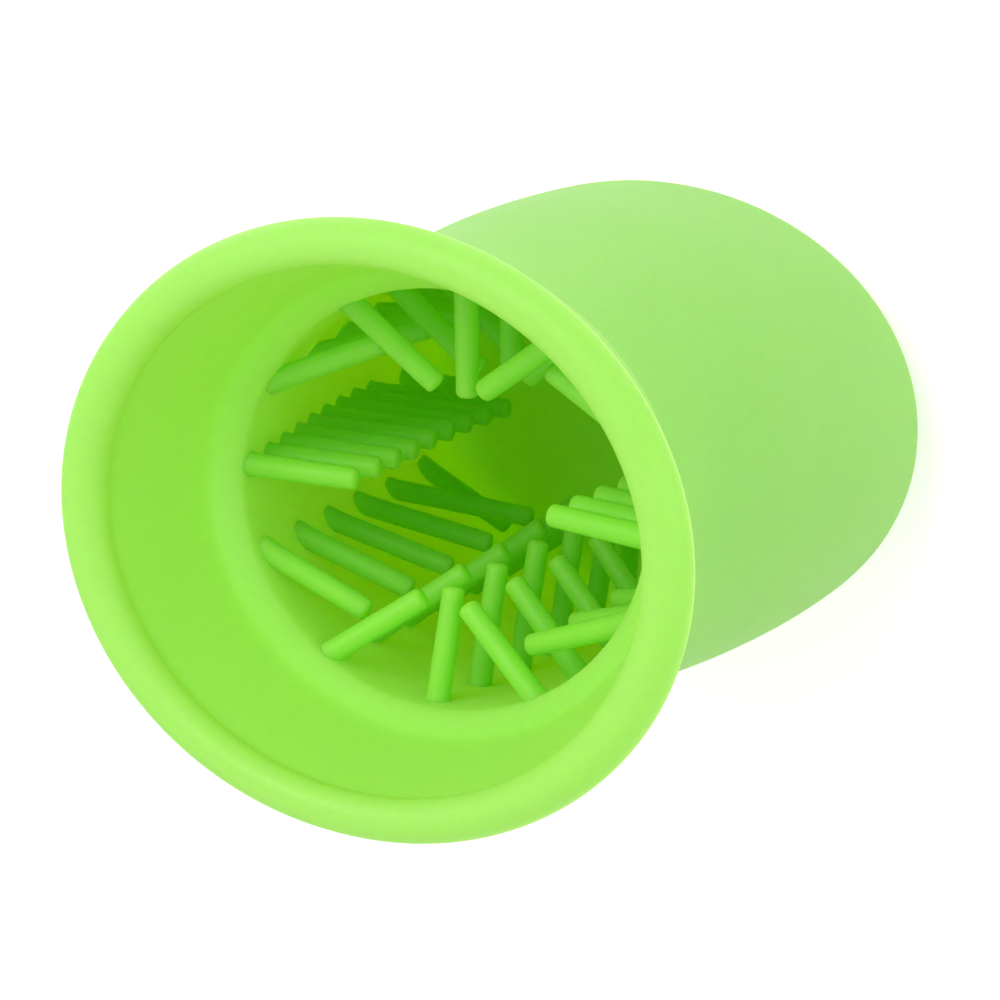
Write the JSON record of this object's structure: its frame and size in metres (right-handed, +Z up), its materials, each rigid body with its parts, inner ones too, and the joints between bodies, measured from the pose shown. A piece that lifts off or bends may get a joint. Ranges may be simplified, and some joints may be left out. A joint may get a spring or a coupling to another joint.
{
  "type": "paw washer cup",
  "caption": "Soft silicone cup with a rolled rim, mouth collar and swelling barrel, its inside lined with rows of bendable bristles that scrub a paw put in and twisted.",
  "frame": {"origin": "middle of the underside of the base", "axes": "+Z up along the cup's axis towards its mouth; +X in the parting plane through the close-set bristle rows, along the wider way of the oval cup; +Y along the mould's opening direction, the narrower way"},
  "size_m": [0.106, 0.0944, 0.1299],
  "materials": {
    "cup_silicone": "satin moulded silicone, light green, slightly translucent",
    "bristle_silicone": "satin moulded silicone, light green, slightly translucent"
  },
  "bodies": {
    "cup": {"base": "cup_silicone", "barrel_wall": "cup_silicone", "mouth_collar": "cup_silicone", "rim_bead": "cup_silicone"},
    "bristle_row_01": {"bristle_row_01": "bristle_silicone"},
    "bristle_row_02": {"bristle_row_02": "bristle_silicone"},
    "bristle_row_03": {"bristle_row_03": "bristle_silicone"},
    "bristle_row_04": {"bristle_row_04": "bristle_silicone"},
    "bristle_row_05": {"bristle_row_05": "bristle_silicone"},
    "bristle_row_06": {"bristle_row_06": "bristle_silicone"},
    "bristle_row_07": {"bristle_row_07": "bristle_silicone"},
    "bristle_row_08": {"bristle_row_08": "bristle_silicone"},
    "bristle_row_09": {"bristle_row_09": "bristle_silicone"},
    "bristle_row_10": {"bristle_row_10": "bristle_silicone"},
    "bristle_row_11": {"bristle_row_11": "bristle_silicone"},
    "bristle_row_12": {"bristle_row_12": "bristle_silicone"}
  },
  "joints": [
    {"name": "bristle_row_01_bend", "type": "hinge", "parent": "cup", "child": "bristle_row_01", "pos_m": [0.04104, 0, 0.0595], "axis": [-0.1843, 0, 0.9829], "range_deg": [-12, 12], "stiffness_Nm_per_rad": 0.024},
    {"name": "bristle_row_02_bend", "type": "hinge", "parent": "cup", "child": "bristle_row_02", "pos_m": [0.03609, 0.01752, 0.058], "axis": [-0.1588, -0.0436, 0.9864], "range_deg": [-12, 12], "stiffness_Nm_per_rad": 0.014},
    {"name": "bristle_row_03_bend", "type": "hinge", "parent": "cup", "child": "bristle_row_03", "pos_m": [0.02052, 0.03119, 0.0595], "axis": [-0.0931, -0.0803, 0.9924], "range_deg": [-12, 12], "stiffness_Nm_per_rad": 0.014},
    {"name": "bristle_row_04_bend", "type": "hinge", "parent": "cup", "child": "bristle_row_04", "pos_m": [0, 0.03625, 0.0565], "axis": [0, -0.0884, 0.9961], "range_deg": [-12, 12], "stiffness_Nm_per_rad": 0.014},
    {"name": "bristle_row_05_bend", "type": "hinge", "parent": "cup", "child": "bristle_row_05", "pos_m": [-0.02052, 0.03119, 0.0595], "axis": [0.0931, -0.0803, 0.9924], "range_deg": [-12, 12], "stiffness_Nm_per_rad": 0.014},
    {"name": "bristle_row_06_bend", "type": "hinge", "parent": "cup", "child": "bristle_row_06", "pos_m": [-0.03609, 0.01752, 0.058], "axis": [0.1588, -0.0436, 0.9864], "range_deg": [-12, 12], "stiffness_Nm_per_rad": 0.014},
    {"name": "bristle_row_07_bend", "type": "hinge", "parent": "cup", "child": "bristle_row_07", "pos_m": [-0.04104, 0, 0.0595], "axis": [0.1843, 0, 0.9829], "range_deg": [-12, 12], "stiffness_Nm_per_rad": 0.024},
    {"name": "bristle_row_08_bend", "type": "hinge", "parent": "cup", "child": "bristle_row_08", "pos_m": [-0.03609, -0.01752, 0.058], "axis": [0.1588, 0.0436, 0.9864], "range_deg": [-12, 12], "stiffness_Nm_per_rad": 0.014},
    {"name": "bristle_row_09_bend", "type": "hinge", "parent": "cup", "child": "bristle_row_09", "pos_m": [-0.02052, -0.03119, 0.0595], "axis": [0.0931, 0.0803, 0.9924], "range_deg": [-12, 12], "stiffness_Nm_per_rad": 0.014},
    {"name": "bristle_row_10_bend", "type": "hinge", "parent": "cup", "child": "bristle_row_10", "pos_m": [0, -0.03625, 0.0565], "axis": [0, 0.0884, 0.9961], "range_deg": [-12, 12], "stiffness_Nm_per_rad": 0.014},
    {"name": "bristle_row_11_bend", "type": "hinge", "parent": "cup", "child": "bristle_row_11", "pos_m": [0.02052, -0.03119, 0.0595], "axis": [-0.0931, 0.0803, 0.9924], "range_deg": [-12, 12], "stiffness_Nm_per_rad": 0.014},
    {"name": "bristle_row_12_bend", "type": "hinge", "parent": "cup", "child": "bristle_row_12", "pos_m": [0.03609, -0.01752, 0.058], "axis": [-0.1588, 0.0436, 0.9864], "range_deg": [-12, 12], "stiffness_Nm_per_rad": 0.014}
  ],
  "couplings": [
    {"joint": "bristle_row_02_bend", "follows": "bristle_row_01_bend", "ratio": 1},
    {"joint": "bristle_row_03_bend", "follows": "bristle_row_01_bend", "ratio": 1},
    {"joint": "bristle_row_04_bend", "follows": "bristle_row_01_bend", "ratio": 1},
    {"joint": "bristle_row_05_bend", "follows": "bristle_row_01_bend", "ratio": 1},
    {"joint": "bristle_row_06_bend", "follows": "bristle_row_01_bend", "ratio": 1},
    {"joint": "bristle_row_07_bend", "follows": "bristle_row_01_bend", "ratio": 1},
    {"joint": "bristle_row_08_bend", "follows": "bristle_row_01_bend", "ratio": 1},
    {"joint": "bristle_row_09_bend", "follows": "bristle_row_01_bend", "ratio": 1},
    {"joint": "bristle_row_10_bend", "follows": "bristle_row_01_bend", "ratio": 1},
    {"joint": "bristle_row_11_bend", "follows": "bristle_row_01_bend", "ratio": 1},
    {"joint": "bristle_row_12_bend", "follows": "bristle_row_01_bend", "ratio": 1}
  ]
}
